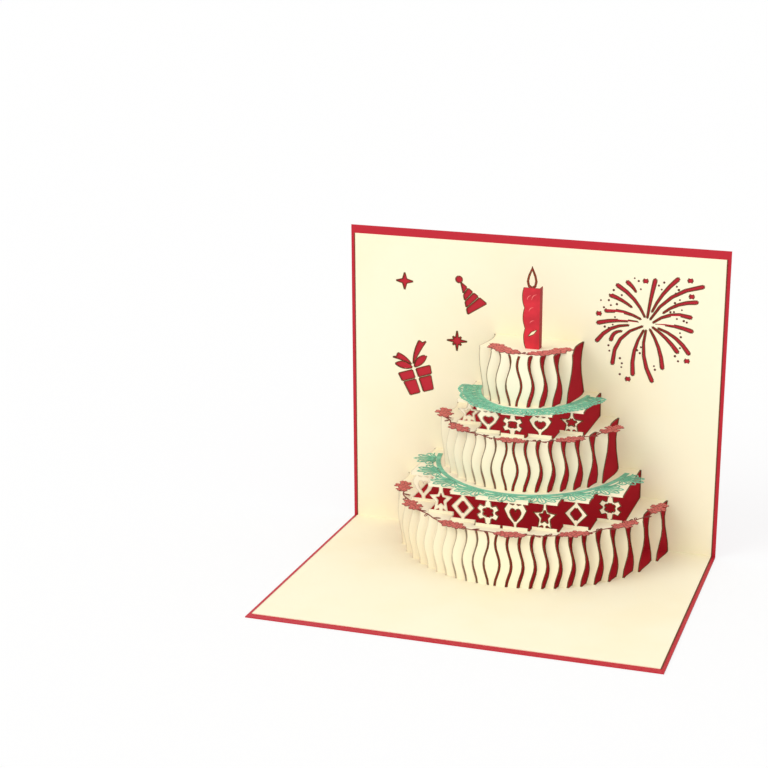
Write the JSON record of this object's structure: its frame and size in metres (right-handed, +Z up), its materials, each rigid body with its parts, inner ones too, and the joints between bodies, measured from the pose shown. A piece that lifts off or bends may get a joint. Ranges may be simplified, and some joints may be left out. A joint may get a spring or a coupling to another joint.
{
  "type": "pop up card",
  "caption": "Folded red card standing half open, with a cream sheet slit into a tiered pop-up cake, lace collars, flower garlands and a paper candle.",
  "frame": {"origin": "bottom centre of the bounding box, on the surface the card stands on", "axes": "+X along the fold, +Y from the lying panel's free edge to the fold, +Z up"},
  "size_m": [0.18, 0.15, 0.1494],
  "materials": {
    "red_card": "pearly",
    "cream_paper": "matte",
    "green_lace": "matte",
    "salmon_lace": "matte",
    "candle_red": "matte"
  },
  "bodies": {
    "root": {"cover": "red_card", "liner": "cream_paper", "lower_collar": "green_lace", "upper_collar": "green_lace", "lower_garland": "salmon_lace", "middle_garland": "salmon_lace", "upper_garland": "salmon_lace", "candle": "candle_red"}
  },
  "joints": []
}
